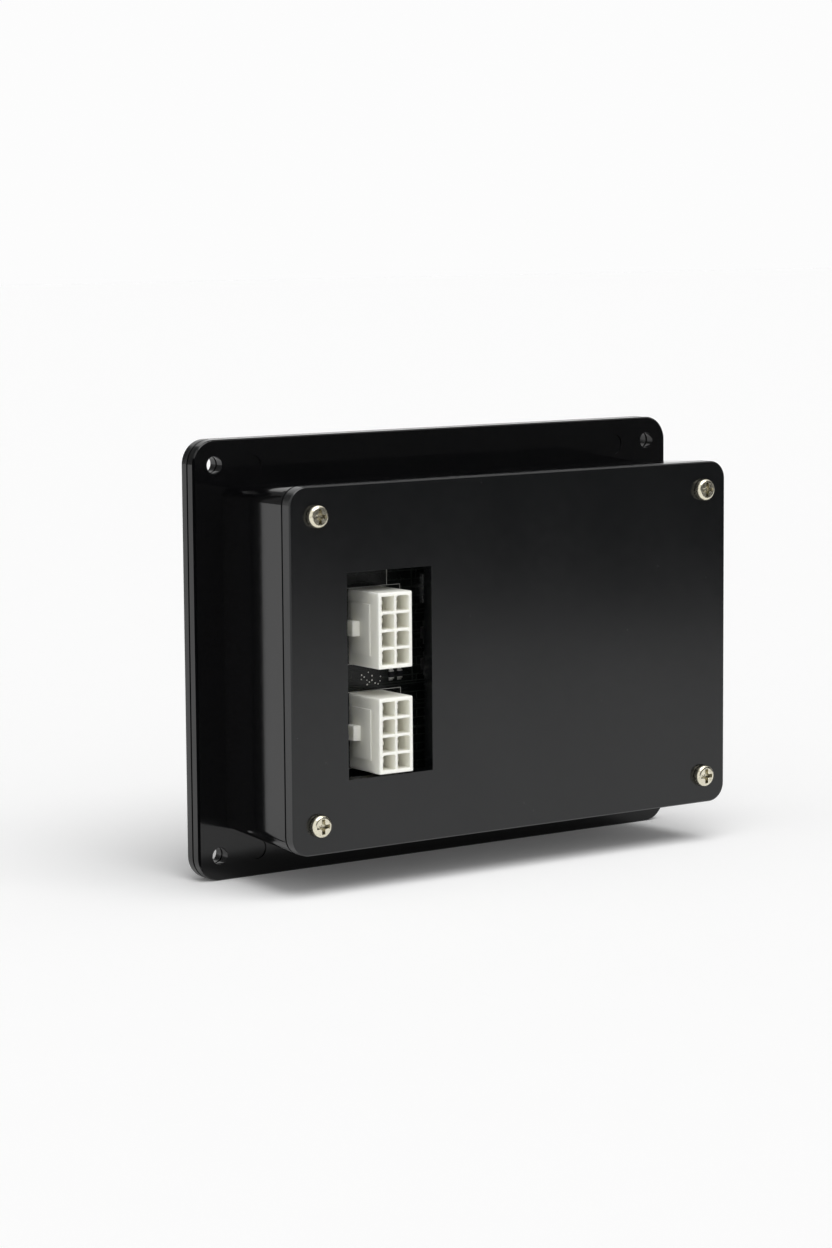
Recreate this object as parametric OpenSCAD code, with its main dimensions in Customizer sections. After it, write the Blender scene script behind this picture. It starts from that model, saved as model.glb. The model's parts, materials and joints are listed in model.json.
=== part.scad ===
// Panel display for a generator controller, seen from behind: a moulded housing with a
// panel flange, a flat rear cover with a connector window, two eight-way wire headers, two
// circuit boards, a character display and a film keypad on the front.
// X runs along the width, Y from the front (negative) to the rear cover (positive), Z up.
// The origin is the centre of the four panel holes, on the rear face of the flange.

/* [Flange and bezel] */
// Width of the flange and of the bezel in front of it
flange_w = 142.8; // [122:0.1:180]
// Height of the flange and of the bezel
flange_h = 105.8; // [92:0.1:140]
// Corner radius of the flange and the bezel
flange_r = 6; // [3:0.5:9]
// Thickness of the housing's flange and front wall
flange_t = 2.3; // [2:0.1:3.5]
// Thickness of the bezel
bezel_t = 2.4; // [2.2:0.1:4]
// Thickness of the seal between the flange and the bezel
seal_t = 0.6; // [0.2:0.05:0.8]
// Distance from the outer edge in to the seal
seal_margin = 0.8; // [0.2:0.1:1.5]
// Edge break around the outer faces of the bezel, the flange and the cover
edge_break = 0.3; // [0.1:0.1:0.6]
// Edge break on both sides of the seam between the housing and the cover
seam_break = 0.3; // [0.1:0.05:0.5]
// Distance from the flange's edges to the centres of the panel holes
mount_inset = 6; // [5:0.1:7]
// Diameter of the panel holes
mount_hole_d = 4.2; // [3.4:0.1:5]
// Diameter of the round ejector marks on the flange
mark_d = 5; // [3:0.5:6]
// Depth of the ejector marks
mark_depth = 0.3; // [0.05:0.05:0.4]
// Distance from the flange's ends to the ejector marks
mark_inset_x = 16.6; // [14:0.1:40]
// Distance from the housing's foot out to the ejector marks
mark_out = 4.9; // [4:0.1:6]

/* [Housing] */
// How far the flange stands out at the housing's ends
flange_side = 6.4; // [5.4:0.1:10]
// How far the flange stands out above and below the housing
flange_top = 9.8; // [8:0.1:14]
// Corner radius of the housing and the cover
body_r = 4.5; // [3.5:0.1:6]
// Depth of the housing from the flange's rear face to the cover
body_depth = 28.5; // [24:0.1:36]
// How far each side is drawn in at the flange
body_inset = 1.7; // [0:0.1:2]
// Height of the housing's centre above the flange's centre
body_rise = 0.4; // [-0.5:0.1:0.8]
// Thickness of the housing's walls
wall_t = 2.4; // [1.8:0.1:2.8]
// Corner radius inside the walls at the flange
inner_r = 0.8; // [0.3:0.1:2]
// Radius of the corner posts that take the cover screws
post_r = 3.5; // [3:0.1:4]
// Thickness of the ribs between the corner posts and the walls
post_rib_t = 1.4; // [1:0.1:2]

/* [Rear cover] */
// Thickness of the rear cover
cover_t = 3.3; // [2.5:0.1:4]
// Gap in the connector window on the inner side of the headers
window_gap_inner = 7; // [4.5:0.1:9]
// Gap in the connector window on the latch side of the headers
window_gap_outer = 7.4; // [5:0.1:9]
// Gap in the connector window above the upper header
window_gap_top = 5.2; // [2:0.1:9]
// Gap in the connector window below the lower header
window_gap_bottom = 0.7; // [0.4:0.1:4]
// Height of the locating lip inside the cover
lip_h = 1.6; // [1:0.1:2.5]
// Thickness of the locating lip
lip_t = 1.4; // [1:0.1:2]
// Gap between the locating lip's ends and the corner posts
lip_end_gap = 1; // [0.5:0.1:3]
// Gap around parts that drop into a recess or between walls
fit_gap = 0.2; // [0.1:0.05:0.3]

/* [Screws] */
// Thread diameter of all screws
screw_d = 3; // [2.5:0.1:3.4]
// Gap around a screw in the hole that it threads into
thread_gap = 0.05; // [0.02:0.01:0.1]
// Gap around a screw in a clearance hole
clear_gap = 0.2; // [0.1:0.05:0.4]
// Room beyond a screw's tip in its blind hole
tip_room = 1; // [0.5:0.1:1.5]
// Diameter of the pan heads
head_d = 5.4; // [4.8:0.1:6.2]
// Height of the pan heads
head_h = 1.9; // [1.6:0.1:2.4]
// Depth of the cross recess
recess_h = 1.4; // [1:0.1:1.5]
// Width of the cross recess's arms
recess_w = 0.9; // [0.6:0.05:1.1]
// Length of the cover screws under the head
cover_screw_len = 10; // [8:0.5:14]
// Length of the board screws under the head
board_screw_len = 6; // [5:0.5:8]
// Distance from the cover's ends to its screws
screw_inset_x = 7.2; // [6.5:0.1:8.5]
// Distance from the cover's top and bottom to its screws
screw_inset_z = 6.95; // [6.5:0.05:8.5]

/* [Boards] */
// Thickness of both circuit boards
board_t = 1.6; // [1:0.1:1.9]
// Gap between the boards' edges and the walls
board_gap = 1.2; // [0.8:0.1:1.6]
// Corner radius of the boards
board_r = 1; // [0.5:0.1:2]
// Gap between the boards' corner notches and the posts
post_gap = 0.8; // [0.5:0.1:1.2]
// Height of the moulded bosses under the display board
boss_h = 3.8; // [3.2:0.1:5]
// Diameter of the moulded bosses
boss_d = 6; // [5:0.1:7]
// Distance from the corner posts in to the bosses, across
boss_side = 3.3; // [2:0.1:5]
// Distance from the corner posts in to the bosses, up and down
boss_drop = 9.15; // [8:0.05:14]
// Width across flats of the hexagonal board spacers
spacer_af = 5.5; // [5:0.1:6.4]
// Length of the stud on each board spacer
stud_len = 5; // [4:0.5:5.5]

/* [Wire headers] */
// Distance between contacts
contact_step = 4.2; // [3.6:0.1:4.8]
// Contact rows in each header
header_rows = 4; // [3:1:4]
// Height of the header above the board
header_h = 12.8; // [11:0.1:15]
// How far the headers stand out of the rear cover
header_proud = 2; // [0:0.1:3]
// Thickness of the header's outer wall
header_wall = 0.9; // [0.7:0.05:1.2]
// Thickness of the walls between the cells
rib_t = 0.6; // [0.5:0.05:0.8]
// Thickness of the header under its cells
header_floor = 3.2; // [2.4:0.1:4]
// Corner cut of the keyed cells
key_cut = 0.4; // [0.3:0.1:1]
// Distance from the cover's end to the centre of the headers
header_side = 27.9; // [24:0.1:32]
// Gap between the two headers
header_gap = 6.9; // [4.5:0.1:9]
// Middle between the two headers, up from the cover's centre
header_mid_z = -4.1; // [-5:0.1:-3]
// Height of the latch ramp on each header
latch_h = 3.6; // [3:0.1:5]
// How far the latch ramp stands out
latch_out = 1.8; // [1:0.1:2.2]
// Distance from the board to the latch ramp
latch_up = 1.6; // [1:0.1:3]
// Length of the latch ramp along the header
latch_len = 3.6; // [3:0.1:4.2]
// Length of the latch ramp's slope
latch_slope = 0.7; // [0.4:0.1:1.5]
// How far the flat guide pad around the latch ramp stands out
pad_out = 0.2; // [0.1:0.05:0.3]
// Distance from the header's ends in to the guide pad
pad_end = 2.9; // [2:0.1:4.5]
// Distance from the board to the guide pad
pad_up = 1.2; // [0.5:0.1:2]
// Distance from the header's mouth back to the guide pad
pad_back = 3.5; // [2.5:0.1:5]
// Thickness of the square header pins
pin_w = 1; // [0.8:0.05:1.15]
// Distance from the header's mouth to the pins' tips
pin_back = 3; // [2:0.1:5]
// Gap around a pin in its plastic body
pin_gap = 0.05; // [0.02:0.01:0.1]
// How far pins stand out on the far side of a board
pin_tail = 1.4; // [1:0.1:2]
// Height of the solder around a pin
solder_h = 0.7; // [0.4:0.1:0.9]

/* [Link between the boards] */
// Distance between the link's pins
link_step = 2.54; // [2:0.01:3]
// Pin rows in the link
link_rows = 8; // [4:1:8]
// Thickness of the link's square pins
link_pin_w = 0.64; // [0.5:0.02:0.76]
// Height of the link's header body
link_base_h = 2.5; // [2:0.1:3]
// Distance from the display's frame to the middle of the link
link_side = 3.5; // [3.2:0.1:4.5]
// Middle of the link, up from the housing's centre
link_z = -4; // [-6:0.5:0]

/* [Display] */
// Height of the display's metal frame
lcd_h = 38; // [30:0.1:45]
// Gap between the display board's top edge and the display's frame
lcd_top_gap = 2.2; // [1.5:0.1:4]
// Gap between the display's frame and the bosses beside it
lcd_boss_gap = 2; // [1:0.1:4]
// Width of the strip beside the display that holds the indicator lights
light_strip_w = 14; // [11:0.5:20]
// Width of the frame's border beside the visible area
view_border_x = 10.5; // [8:0.1:14]
// Height of the frame's border above and below the visible area
view_border_z = 5; // [4:0.1:6]
// Gap around the visible area in the bezel's opening
view_gap = 1; // [0.5:0.1:2]
// How far the display's frame sits behind the front wall's front face
lcd_set_back = 0.6; // [0.2:0.1:1]
// Sheet thickness of the display's frame
frame_sheet = 0.6; // [0.4:0.1:0.8]
// Width of the frame's fixing tabs
tab_w = 2.4; // [2:0.1:3]
// How far the fixing tabs stand out behind the board
tab_out = 0.8; // [0.4:0.1:1.5]
// Thickness of the display's glass
glass_t = 2.2; // [1.6:0.1:2.6]
// Width of the rubber contact strips
strip_w = 2.6; // [2:0.1:3]
// Distance from the frame's ends to the contact strips
strip_end_gap = 3.6; // [1:0.1:6]
// Thickness of the bezel's ledge in front of the clear window
ledge_t = 0.75; // [0.5:0.05:0.9]
// How far the clear window laps the bezel around its opening
lens_lap = 2; // [1.5:0.1:3]

/* [Film keypad] */
// Distance from the bezel's ends to the keypad film
film_margin_x = 10.9; // [9.4:0.1:14]
// Distance from the bezel's top and bottom to the keypad film
film_margin_z = 4.4; // [3:0.1:6]
// Corner radius of the keypad film
film_r = 3; // [1:0.5:5]
// Thickness of the printed overlay
overlay_t = 0.25; // [0.15:0.05:0.3]
// Thickness of the spacer film around the domes
dome_film_t = 0.4; // [0.3:0.05:0.45]
// Thickness of the circuit film
circuit_t = 0.2; // [0.1:0.05:0.25]
// Keys in each row
keys_across = 5; // [3:1:5]
// Distance from the film's ends to the key pads
key_margin_x = 14; // [12:0.5:20]
// Width of a key pad
key_w = 13; // [10:0.5:15]
// Corner radius of a key pad
key_r = 1.5; // [0.5:0.1:2]
// How far the key pads are embossed
emboss_h = 0.35; // [0.2:0.05:0.5]
// Diameter of the snap domes
dome_d = 8.4; // [6:0.1:9]
// Sheet thickness of the snap domes
dome_sheet = 0.08; // [0.05:0.01:0.1]
// Width of the film's tail
tail_w = 14; // [10:0.5:16]
// Distance from the display board's end to the tail
tail_side = 7.7; // [6.5:0.1:8.5]
// Gap around the tail in its slot
tail_play = 0.5; // [0.3:0.1:1]
// How far the tail goes into its connector
tail_in = 1.4; // [0.8:0.1:1.8]
// Width of the tail's connector
tail_socket_w = 4.4; // [3.6:0.1:5]
// How far the tail's connector is longer than the tail at each end
tail_socket_end = 1.3; // [0.8:0.1:2]
// Gap between the tail's connector and the front wall
tail_socket_gap = 1.2; // [0.8:0.1:1.6]

/* [Indicators] */
// Number of indicator lights
light_count = 4; // [2:1:4]
// Diameter of the light pipes
pipe_d = 3; // [2:0.1:3.6]
// How far the light pipes' collars stand out
collar_out = 0.7; // [0.4:0.1:1]
// Thickness of the light pipes' collars
collar_t = 1.2; // [0.8:0.1:1.5]
// Gap between a light pipe and its light
led_gap = 0.5; // [0.2:0.1:0.8]
// Length of a light's base
led_l = 3.2; // [2.6:0.1:3.6]
// Width of a light's base
led_w = 1.6; // [1.2:0.1:2]
// Height of a light's base
led_base_h = 0.9; // [0.6:0.1:1.2]
// Diameter of a light's lens
led_d = 1.5; // [1:0.1:2]

/* [Parts on the boards] */
// Side of the processor
processor_w = 14; // [12:0.5:16]
// Height of the flat chips
chip_h = 1.4; // [1:0.1:1.8]
// Side of the display's driver chip
driver_w = 10; // [8:0.5:12]
// Length of the bus driver chips
bus_chip_l = 5; // [4.4:0.1:6]
// Width of the bus driver chips
bus_chip_w = 4; // [3.4:0.1:4.6]
// Length of the chips' feet
foot_l = 1.1; // [0.8:0.1:1.4]
// Thickness of the chips' feet
foot_t = 0.16; // [0.12:0.02:0.24]
// Length of the crystal's can
crystal_l = 11.4; // [9:0.1:12]
// Width of the crystal's can
crystal_w = 4.4; // [3.6:0.1:5]
// Height of the crystal's can
crystal_h = 3.6; // [3:0.1:4]
// Width of the power regulator
regulator_w = 10; // [8:0.1:11]
// Length of the power regulator's body
regulator_l = 8.6; // [7:0.1:10]
// Height of the power regulator
regulator_h = 4.4; // [3.6:0.1:5]
// Side of the power inductor
inductor_w = 10; // [8:0.1:11.5]
// Height of the power inductor
inductor_h = 5; // [4:0.1:5.6]
// Side of the power capacitors' feet
capacitor_w = 6.8; // [5.6:0.1:7.6]
// Room between the power capacitors and the cover
capacitor_room = 1.8; // [1:0.1:2.5]
// Length of the surge diodes
diode_l = 6.8; // [5.6:0.1:7.8]
// Width of the surge diodes
diode_w = 5.6; // [4.4:0.1:6.4]
// Height of the surge diodes
diode_h = 2.3; // [1.8:0.1:2.6]
// Length of the chip resistors and capacitors
small_l = 2; // [1.6:0.1:2.3]
// Width of the chip resistors and capacitors
small_w = 1.25; // [0.8:0.05:1.45]
// Height of the chip resistors
resistor_h = 0.5; // [0.4:0.05:0.6]
// Height of the chip capacitors
small_cap_h = 0.8; // [0.6:0.05:1.2]
// Distance between neighbouring small parts
small_step = 2.6; // [2.2:0.1:3]
// Distance from the headers to the column of large power parts
power_back = 15.3; // [12:0.1:18]
// Distance from the headers to the power regulator
regulator_back = 28.3; // [26:0.1:32]
// Distance from the headers to the processor
processor_back = 48.3; // [46:0.1:54]

/* [Hidden] */
$fn = 48;

// The four corners as signs for X and Z
CORNERS = [[1, 1], [1, -1], [-1, 1], [-1, -1]];

// Housing and flange, across and up
body_w = flange_w - 2 * flange_side;
body_h = flange_h - 2 * flange_top;
inner_w = body_w - 2 * wall_t;
inner_h = body_h - 2 * wall_t;
draft = body_inset / body_depth;
mount_x = flange_w / 2 - mount_inset;
mount_z = flange_h / 2 - mount_inset;
mark_x = flange_w / 2 - mark_inset_x;
mark_z = body_h / 2 - body_inset + mark_out;
screw_x = body_w / 2 - screw_inset_x;
screw_z = body_h / 2 - screw_inset_z;
boss_x = screw_x - boss_side;
boss_z = screw_z - boss_drop;

// Places along Y, each from the one before it
bezel_y = -flange_t - seal_t - bezel_t;
film_depth = overlay_t + dome_film_t + circuit_t;
film_y = bezel_y + overlay_t + dome_film_t;
lens_t = bezel_t - film_depth - ledge_t;
lens_y = -flange_t - seal_t - lens_t;
lcd_y = lcd_set_back - flange_t;
glass_y = lcd_y + frame_sheet;
backlight_y = glass_y + glass_t;
display_board_y = boss_h;
display_board_top = display_board_y + board_t;
cover_y = body_depth;
cover_top = cover_y + cover_t;
header_face = cover_top + header_proud;
main_board_top = header_face - header_h;
main_board_y = main_board_top - board_t;
spacer_len = main_board_y - display_board_top;
link_socket_y = display_board_top + link_base_h;
link_socket_h = main_board_y - link_socket_y;
link_reach = 0.7 * link_socket_h;

// Boards
board_w = inner_w - 2 * body_inset - 2 * board_gap;
board_h = inner_h - 2 * body_inset - 2 * board_gap;
notch_x = screw_x - post_r - post_gap;
notch_z = screw_z - post_r - post_gap;

// Display: it fills the space between the bosses but for the strip of lights
lcd_x0 = lcd_boss_gap + boss_d / 2 - boss_x;
lcd_x1 = boss_x - boss_d / 2 - light_strip_w;
lcd_w = lcd_x1 - lcd_x0;
lcd_x = (lcd_x0 + lcd_x1) / 2;
lcd_z = body_rise + board_h / 2 - lcd_top_gap - lcd_h / 2;
view_w = lcd_w - 2 * view_border_x;
view_h = lcd_h - 2 * view_border_z;
opening_w = view_w + 2 * view_gap;
opening_h = view_h + 2 * view_gap;
tab_z = (lcd_h - frame_sheet) / 2;
link_x = lcd_x0 - link_side;
light_x = lcd_x1 + light_strip_w / 2;
light_step = view_h / (light_count - 0.5);

// Film keypad: two rows of keys share the height below the display's opening with three gaps
film_w = flange_w - 2 * film_margin_x;
film_h = flange_h - 2 * film_margin_z;
key_zone = lcd_z - opening_h / 2 + film_h / 2;
key_h = key_zone * 0.218;
key_row_z = [key_zone * 0.297 - film_h / 2, key_zone * 0.673 - film_h / 2];
key_step = (film_w - 2 * key_margin_x - key_w) / (keys_across - 1);
tail_x = board_w / 2 - tail_side;
tail_z = link_z;

// Wire headers and the window around them
cell_w = contact_step - rib_t;
header_w = contact_step + cell_w + 2 * header_wall;
header_l = (header_rows - 1) * contact_step + cell_w + 2 * header_wall;
header_x = body_w / 2 - header_side;
header_x0 = header_x - header_w / 2;
header_zs = [for (s = [1, -1]) header_mid_z + s * (header_l + header_gap) / 2];
window_x0 = header_x0 - window_gap_inner;
window_x1 = header_x + header_w / 2 + window_gap_outer;
window_z0 = header_zs[1] - header_l / 2 - window_gap_bottom;
window_z1 = header_zs[0] + header_l / 2 + window_gap_top;

// Widths of a pin's board hole and of its solder's two ends, as multiples of the pin's width
pin_hole = 1.6;
solder_wide = 2.2;
solder_narrow = 1.5;

// How deep features start inside the wall that they grow from
root = 0.5;

// Extrudes a drawing made in X and Z from y towards the rear by t
module slab(y, t) {
    translate([0, y + t, 0]) rotate([90, 0, 0]) linear_extrude(t) children();
}

// Cylinder along Y from y towards the rear by t
module rod(x, z, y, t, d) {
    translate([x, y, z]) rotate([-90, 0, 0]) cylinder(h = t, d = d);
}

// Box from y towards the rear, centred at x and z
module block(x, z, y, w, h, t) {
    translate([x - w / 2, y, z - h / 2]) cube([w, t, h]);
}

// Rectangle with round corners, centred
module rounded(w, h, r) {
    square([w - 2 * r, h], center = true);
    square([w, h - 2 * r], center = true);
    for (c = CORNERS) translate([c[0] * (w / 2 - r), c[1] * (h / 2 - r)]) circle(r);
}

// Box with drafted sides: w, h and r at its rear end, drawn in by inset at its front end
module drafted(w, h, r, depth, inset) {
    flat_x = w / 2 - r;
    flat_z = h / 2 - r;
    linear_extrude(2 * flat_z, center = true)
        polygon([[inset - w / 2, 0], [w / 2 - inset, 0], [w / 2, depth], [-w / 2, depth]]);
    rotate([0, 90, 0]) linear_extrude(2 * flat_x, center = true)
        polygon([[inset - h / 2, 0], [h / 2 - inset, 0], [h / 2, depth], [-h / 2, depth]]);
    for (c = CORNERS)
        translate([c[0] * flat_x, 0, c[1] * flat_z]) rotate([-90, 0, 0])
            cylinder(h = depth, r1 = r - inset, r2 = r);
}

// What is left of a w by h body, t deep from y, where one end's edge is cut at 45 degrees by e
module within_cut(w, h, r, y, t, e, end) {
    translate([0, end == "front" ? y - e : y + t + e, 0]) rotate([0, 0, end == "front" ? 0 : 180])
        drafted(w + 2 * t, h + 2 * t, r + t, t + 2 * e, t + 2 * e);
}

// Plate from y towards the rear with its front or rear edge broken
module edged_plate(w, h, r, y, t, end) {
    intersection() {
        slab(y, t) rounded(w, h, r);
        within_cut(w, h, r, y, t, edge_break, end);
    }
}

// Pan-head cross-recess screw: head seated at y, shank towards the front
module pan_screw(x, z, y, len) {
    head_r = head_d / 2;
    side_h = head_h * 0.55;
    edge_h = head_h - side_h;
    edge_x = edge_h * 1.6;
    crown = [for (a = [0:15:60]) [head_r - edge_x * (1 - cos(a)), side_h + edge_h * sin(a) / sin(60)]];
    foot = head_h * 0.08;
    arm = head_d * 0.66;
    translate([x, y, z]) rotate([-90, 0, 0]) difference() {
        union() {
            rotate_extrude()
                polygon(concat([[0, 0], [head_r - foot, 0], [head_r, foot]], crown, [[0, head_h]]));
            translate([0, 0, -len]) cylinder(h = len + foot, d = screw_d);
        }
        for (a = [0, 90]) rotate([0, 0, a])
            translate([-arm / 2, -recess_w / 2, head_h - recess_h * 0.85]) cube([arm, recess_w, recess_h]);
        translate([0, 0, head_h - recess_h])
            cylinder(h = recess_h * 1.2, d1 = recess_w * 0.8, d2 = recess_w * 2.2);
    }
}

// Square pins of width w from y towards the rear by t, soldered to the front face of a board
module soldered_pins(places, w, y, t, board_y) {
    slab(y, t) for (p = places) translate(p) square(w, center = true);
    for (p = places) translate([p[0], board_y - solder_h, p[1]]) rotate([-90, 0, 0])
        cylinder(h = solder_h, d1 = w * solder_narrow, d2 = w * solder_wide);
}

// Holes for the four panel bolts
module panel_holes(d) {
    for (c = CORNERS) translate([c[0] * mount_x, c[1] * mount_z]) circle(d = d);
}

// Centre of an indicator light
function light_at(i) = [light_x, lcd_z + (i - (light_count - 1) / 2) * light_step];

// Centre of a key; j is 0 for the lower row and 1 for the upper one
function key_at(i, j) = [(i - (keys_across - 1) / 2) * key_step, key_row_z[j]];

// Centres of all the keys
function all_keys() = [for (i = [0:keys_across - 1], j = [0, 1]) key_at(i, j)];

// Centre of a header's cell; s is 0 or 1 for the two columns
function cell_at(hz, i, s) =
    [header_x + (s - 0.5) * contact_step, body_rise + hz + (i - (header_rows - 1) / 2) * contact_step];

// Places of one header's pins
function header_pins_at(hz) = [for (i = [0:header_rows - 1], s = [0, 1]) cell_at(hz, i, s)];

// Places of the link's pins
function link_pins_at() = [for (i = [0:link_rows - 1], s = [-0.5, 0.5])
    [link_x + s * link_step, link_z + (i - (link_rows - 1) / 2) * link_step]];

// Place on the main board: back from the headers, and up as a share of the board's height
function on_main(back, share) = [header_x0 - back, body_rise + share * board_h];

// Holes for the light pipes
module light_holes() {
    for (i = [0:light_count - 1]) translate(light_at(i)) circle(d = pipe_d + 2 * fit_gap);
}

// Opening over the display's visible area
module view_opening() {
    translate([lcd_x, lcd_z]) square([opening_w, opening_h], center = true);
}

// Slot for the film's tail
module tail_slot() {
    translate([tail_x, tail_z]) square([circuit_t + 2 * tail_play, tail_w + 2 * tail_play], center = true);
}

module front_bezel() {
    lap = 2 * (lens_lap + fit_gap);
    color("#131417") difference() {
        edged_plate(flange_w, flange_h, flange_r, bezel_y, bezel_t, "front");
        slab(bezel_y - 1, bezel_t + 2) {
            panel_holes(mount_hole_d);
            light_holes();
            tail_slot();
            view_opening();
        }
        slab(bezel_y - 1, film_depth + 1)
            rounded(film_w + 2 * fit_gap, film_h + 2 * fit_gap, film_r + fit_gap);
        block(lcd_x, lcd_z, lens_y, opening_w + lap, opening_h + lap, lens_t + 1);
    }
}

module bezel_seal() {
    w = flange_w - 2 * seal_margin;
    h = flange_h - 2 * seal_margin;
    strip = 2 * (mount_inset - seal_margin);
    color("#0b0b0c") slab(-flange_t - seal_t, seal_t) difference() {
        rounded(w, h, flange_r - seal_margin);
        rounded(w - 2 * strip, h - 2 * strip, film_r);
        panel_holes(mount_hole_d + 4 * clear_gap);
    }
}

// Outer form of the housing's walls, made smaller all round by shrink
module shell(shrink) {
    translate([0, -root, 0]) drafted(body_w - 2 * shrink, body_h - 2 * shrink, body_r, body_depth + root,
                                     body_inset + draft * root);
}

// Space inside the housing's walls
module cavity() {
    over = 1;
    grow = draft * over;
    drafted(inner_w + 2 * grow, inner_h + 2 * grow, inner_r + body_inset + grow, body_depth + over,
            body_inset + grow);
}

module rear_housing() {
    screw_hole = cover_screw_len - cover_t + tip_room;
    stud_hole = stud_len - board_t + tip_room * 0.6;
    thread_d = screw_d + 2 * thread_gap;
    rib_l = screw_inset_x + screw_inset_z;
    color("#121316") difference() {
        union() {
            difference() {
                union() {
                    edged_plate(flange_w, flange_h, flange_r, -flange_t, flange_t, "rear");
                    translate([0, 0, body_rise]) intersection() {
                        shell(0);
                        within_cut(body_w, body_h, body_r, -root, body_depth + root, seam_break, "rear");
                    }
                }
                translate([0, 0, body_rise]) cavity();
            }
            translate([0, 0, body_rise]) {
                intersection() {
                    shell(wall_t / 2);
                    for (c = CORNERS) {
                        rod(c[0] * screw_x, c[1] * screw_z, -root, body_depth + root, 2 * post_r);
                        block(c[0] * (screw_x + rib_l / 2), c[1] * screw_z, -root, rib_l, post_rib_t,
                              body_depth + root);
                        block(c[0] * screw_x, c[1] * (screw_z + rib_l / 2), -root, post_rib_t, rib_l,
                              body_depth + root);
                    }
                }
                for (c = CORNERS) rod(c[0] * boss_x, c[1] * boss_z, -root, boss_h + root, boss_d);
            }
        }
        slab(-flange_t - 1, flange_t + 2) {
            panel_holes(mount_hole_d);
            light_holes();
            tail_slot();
            translate([lcd_x, lcd_z]) square([lcd_w + 2 * fit_gap, lcd_h + 2 * fit_gap], center = true);
        }
        translate([0, 0, body_rise]) for (c = CORNERS) {
            rod(c[0] * mark_x, c[1] * mark_z - body_rise, -mark_depth, 1, mark_d);
            rod(c[0] * screw_x, c[1] * screw_z, body_depth - screw_hole, screw_hole + 1, thread_d);
            rod(c[0] * boss_x, c[1] * boss_z, boss_h - stud_hole, stud_hole + 1, thread_d);
        }
    }
}

module rear_cover() {
    lip_gap = fit_gap + draft * lip_h;
    lip_x = inner_w / 2 - lip_gap;
    lip_z = inner_h / 2 - lip_gap;
    span_x = 2 * (screw_x - post_r - lip_end_gap);
    span_z = 2 * (screw_z - post_r - lip_end_gap);
    color("#17181b") translate([0, 0, body_rise]) {
        difference() {
            intersection() {
                edged_plate(body_w, body_h, body_r, cover_y, cover_t, "rear");
                within_cut(body_w, body_h, body_r, cover_y, cover_t, seam_break, "front");
            }
            slab(cover_y - 1, cover_t + 2) {
                translate([window_x0, window_z0]) square([window_x1 - window_x0, window_z1 - window_z0]);
                for (c = CORNERS)
                    translate([c[0] * screw_x, c[1] * screw_z]) circle(d = screw_d + 2 * clear_gap);
            }
        }
        for (s = [-1, 1]) {
            block(0, s * (lip_z - lip_t / 2), cover_y - lip_h, span_x, lip_t, lip_h + root);
            block(s * (lip_x - lip_t / 2), 0, cover_y - lip_h, lip_t, span_z, lip_h + root);
        }
    }
}

module cover_screw(c) {
    color("#c9c4b4") pan_screw(c[0] * screw_x, c[1] * screw_z + body_rise, cover_top, cover_screw_len);
}

module keypad_overlay() {
    hollow_w = key_w - 2 * overlay_t;
    hollow_h = key_h - 2 * overlay_t;
    color("#1c1f26") difference() {
        union() {
            slab(bezel_y, overlay_t) rounded(film_w, film_h, film_r);
            slab(bezel_y - emboss_h, emboss_h + overlay_t / 2)
                for (p = all_keys()) translate(p) rounded(key_w, key_h, key_r);
        }
        slab(bezel_y - emboss_h + overlay_t, emboss_h + overlay_t)
            for (p = all_keys()) translate(p) rounded(hollow_w, hollow_h, key_r - overlay_t);
        slab(bezel_y - 1, 2) {
            light_holes();
            view_opening();
        }
    }
}

module dome_spacer_film() {
    color("#d8d8d2") slab(bezel_y + overlay_t, dome_film_t) difference() {
        rounded(film_w, film_h, film_r);
        light_holes();
        view_opening();
        for (p = all_keys()) translate(p) circle(d = dome_d + 2 * fit_gap);
    }
}

module snap_domes() {
    rise = dome_film_t + overlay_t * 0.4;
    rim = dome_d / 2;
    outer_side = [[rim, 0], [rim * 0.72, rise * 0.62], [rim * 0.38, rise * 0.9], [0, rise]];
    inner_side = [[0, rise - dome_sheet], [rim * 0.38, rise * 0.9 - dome_sheet],
                  [rim * 0.72, rise * 0.62 - dome_sheet], [rim * 0.94, 0]];
    color("#c8cacd") for (p = all_keys()) translate([p[0], film_y, p[1]]) rotate([90, 0, 0])
        rotate_extrude() polygon(concat(outer_side, inner_side));
}

module keypad_circuit_film() {
    tail_end = display_board_y - tail_socket_h() + tail_in;
    color("#c9a54a") {
        slab(film_y, circuit_t) difference() {
            rounded(film_w, film_h, film_r);
            light_holes();
            view_opening();
        }
        block(tail_x, tail_z, film_y, circuit_t, tail_w, tail_end - film_y);
    }
}

module display_window() {
    color("#9fb0b8", 0.4)
        block(lcd_x, lcd_z, lens_y, opening_w + 2 * lens_lap, opening_h + 2 * lens_lap, lens_t);
}

// Children at each fixing tab of the display's frame, in X and Z
module at_tabs() {
    for (x = [-0.4, 0, 0.4], s = [-1, 1]) translate([lcd_x + x * lcd_w, lcd_z + s * tab_z]) children();
}

module lcd_frame() {
    depth = display_board_y - lcd_y;
    color("#2a2c2f") {
        difference() {
            block(lcd_x, lcd_z, lcd_y, lcd_w, lcd_h, depth);
            block(lcd_x, lcd_z, glass_y, lcd_w - 2 * frame_sheet, lcd_h - 2 * frame_sheet, depth);
            block(lcd_x, lcd_z, lcd_y - 1, view_w, view_h, depth);
        }
        slab(display_board_y - root, board_t + tab_out + root)
            at_tabs() square([tab_w, frame_sheet], center = true);
    }
}

module lcd_glass() {
    w = lcd_w - 2 * (frame_sheet + fit_gap);
    h = lcd_h - 2 * (frame_sheet + fit_gap);
    color("#5d7a4a") block(lcd_x, lcd_z, glass_y, w, h, glass_t);
}

module lcd_backlight() {
    w = lcd_w - 2 * (frame_sheet + fit_gap);
    h = lcd_h - 2 * (frame_sheet + 2 * fit_gap + strip_w);
    color("#ecece4") block(lcd_x, lcd_z, backlight_y, w, h, display_board_y - backlight_y);
}

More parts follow.
